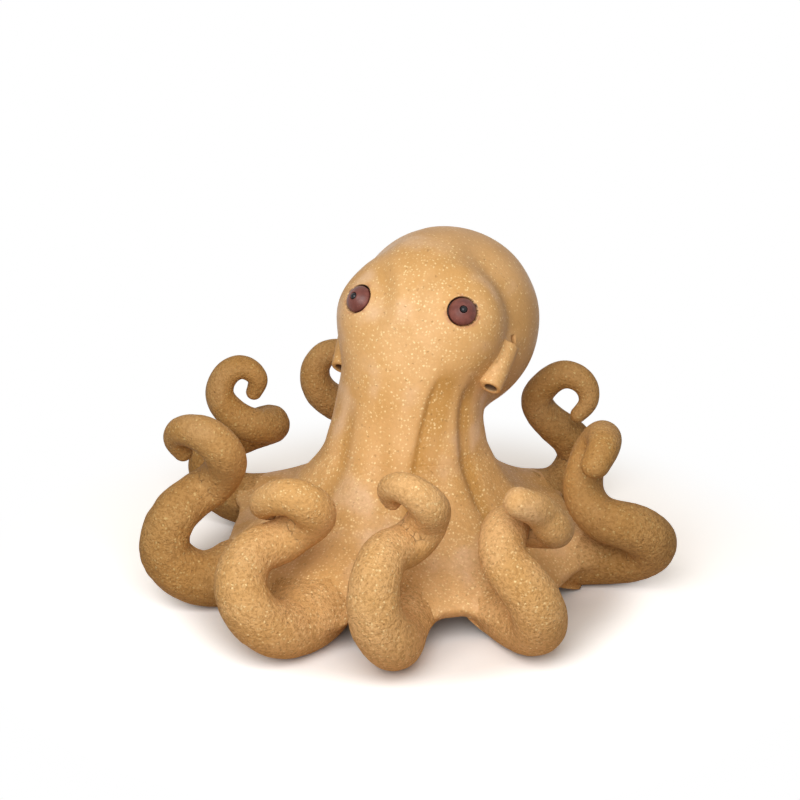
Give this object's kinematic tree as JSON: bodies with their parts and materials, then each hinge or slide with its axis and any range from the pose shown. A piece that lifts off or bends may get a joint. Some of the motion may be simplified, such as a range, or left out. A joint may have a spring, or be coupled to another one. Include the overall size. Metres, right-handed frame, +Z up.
{
  "type": "octopus figurine",
  "caption": "Unglazed sandy clay octopus ornament: hollow body with a leaning round mantle, inset eyes, open siphons, and rolled arms that curl up from a flared web to stand on a table.",
  "frame": {"origin": "middle of the footprint's bounding box, on the table", "axes": "+Z up, the face looks along -Y, +X is the octopus's own left"},
  "size_m": [0.098, 0.0912, 0.0612],
  "materials": {
    "burnished_clay": "unglazed ochre stoneware burnished to a soft satin, with golden sand grains",
    "rolled_clay": "the same clay left matt and stippled, fine cracks inside the bends",
    "red_clay": "red-brown clay, satin",
    "black_bead": "glossy black"
  },
  "bodies": {
    "root": {"head": "burnished_clay", "left_arm_1": "rolled_clay", "left_arm_2": "rolled_clay", "left_arm_3": "rolled_clay", "left_arm_4": "rolled_clay", "left_eye": "red_clay", "left_pupil": "black_bead", "left_siphon": "burnished_clay", "mantle": "burnished_clay", "right_arm_1": "rolled_clay", "right_arm_2": "rolled_clay", "right_arm_3": "rolled_clay", "right_arm_4": "rolled_clay", "right_eye": "red_clay", "right_pupil": "black_bead", "right_siphon": "burnished_clay", "web_skirt": "burnished_clay"}
  },
  "joints": []
}
